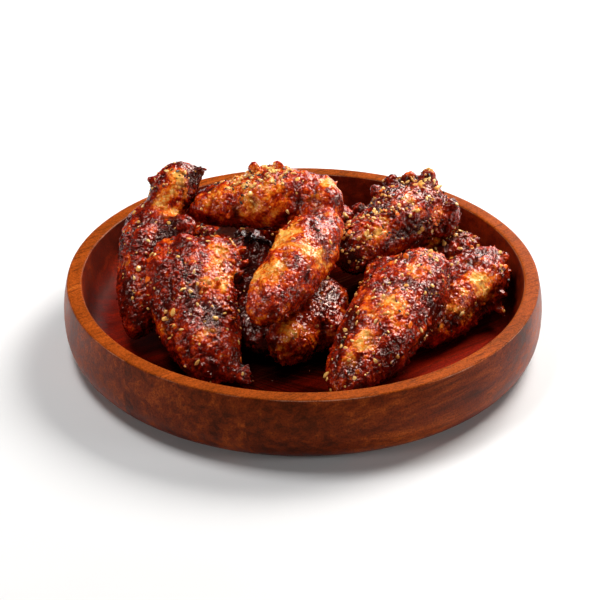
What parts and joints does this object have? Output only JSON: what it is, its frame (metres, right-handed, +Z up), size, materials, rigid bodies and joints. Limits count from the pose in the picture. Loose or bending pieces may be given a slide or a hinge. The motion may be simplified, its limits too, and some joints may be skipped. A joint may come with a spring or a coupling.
{
  "type": "chicken wings serving",
  "caption": "Glazed chicken wings heaped in a shallow round wooden bowl with an upright wall, a flat rim and a flat foot.",
  "frame": {"origin": "middle of the bowl's flat underside, on the surface it stands on", "axes": "+Z up out of the bowl, -Y towards the diner, +X to the diner's right"},
  "size_m": [0.2338, 0.2338, 0.0726],
  "materials": {
    "oiled_wood": "oiled satin, red-brown, with a lighter rim",
    "glazed_skin": "sticky glossy glaze over crisp browned skin"
  },
  "bodies": {
    "root": {"bowl": "oiled_wood", "wing_back_low": "glazed_skin", "wing_back_right_low": "glazed_skin", "wing_center_back": "glazed_skin", "wing_center_low": "glazed_skin", "wing_right": "glazed_skin", "wing_back_left": "glazed_skin", "wing_front_left": "glazed_skin", "wing_back_right": "glazed_skin", "wing_front_right": "glazed_skin", "wing_top": "glazed_skin"}
  },
  "joints": []
}
